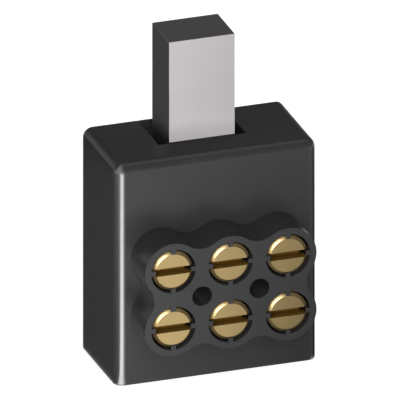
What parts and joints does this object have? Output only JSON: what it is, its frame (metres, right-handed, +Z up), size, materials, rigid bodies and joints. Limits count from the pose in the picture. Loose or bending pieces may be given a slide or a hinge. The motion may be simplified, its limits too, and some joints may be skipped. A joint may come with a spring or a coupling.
{
  "type": "terminal block",
  "caption": "Black insulated terminal block with an upright contact bar, wire entries below and slotted brass clamp screws in a scalloped boss on its front.",
  "frame": {"origin": "middle of the block's outline, screw boss included, at the level of its base", "axes": "+Z up along the contact bar, -Y forwards out of the screw boss, +X to the right seen from the front"},
  "size_m": [0.0304, 0.0208, 0.05],
  "materials": {
    "moulded_black": "satin",
    "tinned_metal": "satin",
    "turned_brass": "satin"
  },
  "bodies": {
    "block": {"housing": "moulded_black", "rear_cover": "moulded_black", "clamp_block": "tinned_metal", "contact_bar": "tinned_metal"},
    "screw_lower_left": {"clamp_screw_lower_left": "turned_brass"},
    "screw_lower_middle": {"clamp_screw_lower_middle": "turned_brass"},
    "screw_lower_right": {"clamp_screw_lower_right": "turned_brass"},
    "screw_upper_left": {"clamp_screw_upper_left": "turned_brass"},
    "screw_upper_middle": {"clamp_screw_upper_middle": "turned_brass"},
    "screw_upper_right": {"clamp_screw_upper_right": "turned_brass"}
  },
  "joints": [
    {"name": "tighten_lower_left", "type": "slide", "parent": "block", "child": "screw_lower_left", "axis": [0, 1, 0], "range_m": [0, 0.004]},
    {"name": "tighten_lower_middle", "type": "slide", "parent": "block", "child": "screw_lower_middle", "axis": [0, 1, 0], "range_m": [0, 0.004]},
    {"name": "tighten_lower_right", "type": "slide", "parent": "block", "child": "screw_lower_right", "axis": [0, 1, 0], "range_m": [0, 0.004]},
    {"name": "tighten_upper_left", "type": "slide", "parent": "block", "child": "screw_upper_left", "axis": [0, 1, 0], "range_m": [0, 0.004]},
    {"name": "tighten_upper_middle", "type": "slide", "parent": "block", "child": "screw_upper_middle", "axis": [0, 1, 0], "range_m": [0, 0.004]},
    {"name": "tighten_upper_right", "type": "slide", "parent": "block", "child": "screw_upper_right", "axis": [0, 1, 0], "range_m": [0, 0.004]}
  ]
}
